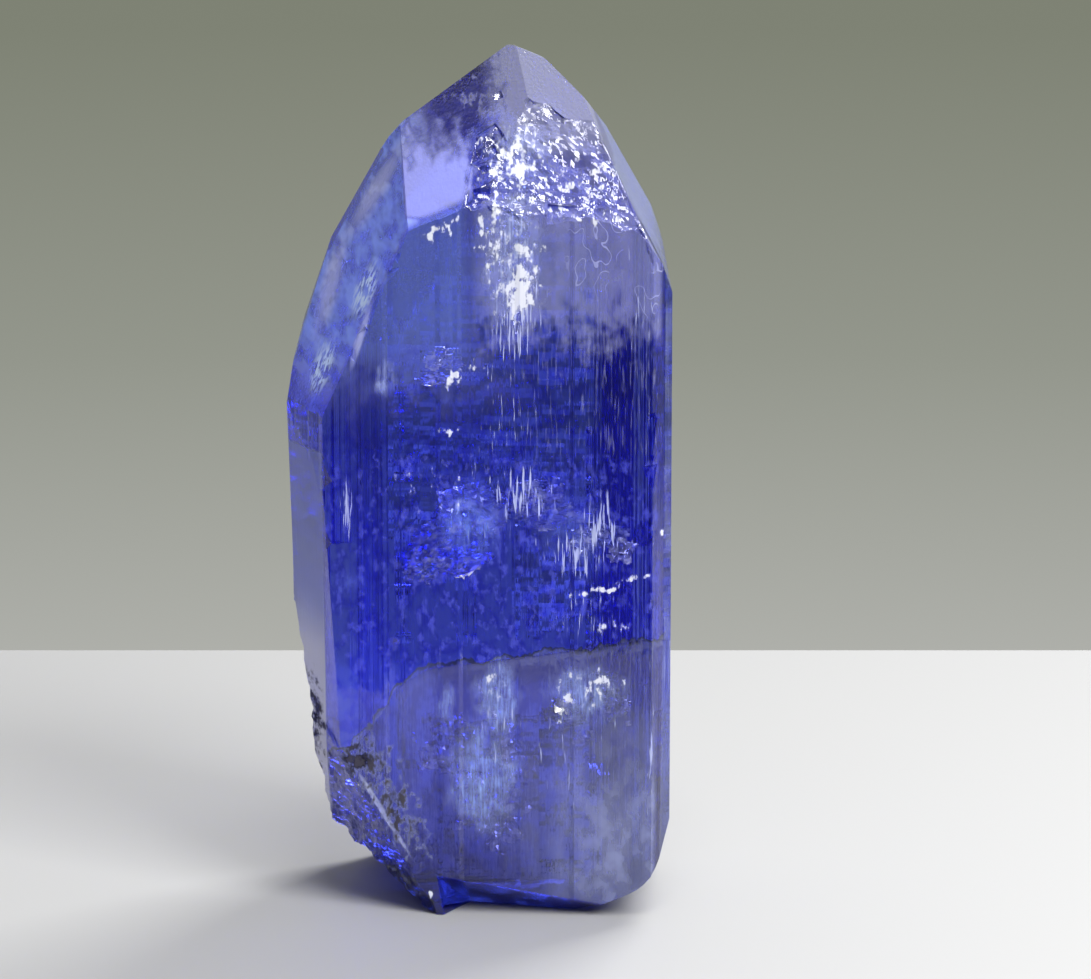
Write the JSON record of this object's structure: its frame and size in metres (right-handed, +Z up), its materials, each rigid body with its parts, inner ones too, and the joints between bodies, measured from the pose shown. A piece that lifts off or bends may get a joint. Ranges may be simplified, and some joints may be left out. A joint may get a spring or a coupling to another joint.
{
  "type": "rough tanzanite crystal",
  "caption": "Upright rough gem crystal: a flattened striated prism with a chipped sloping point, a healed crack low down and a broken foot, deep violet-blue; a mineral specimen to display.",
  "frame": {"origin": "middle of the bounding box's base, on the surface that the crystal stands on", "axes": "+Z up along the crystal's length, -Y out of the broad striated front face, +X to the right of someone who looks at that face"},
  "size_m": [0.0098, 0.0068, 0.022],
  "materials": {
    "tanzanite": "glassy, striated along the length, rough on the breaks"
  },
  "bodies": {
    "root": {"tanzanite_crystal": "tanzanite"}
  },
  "joints": []
}
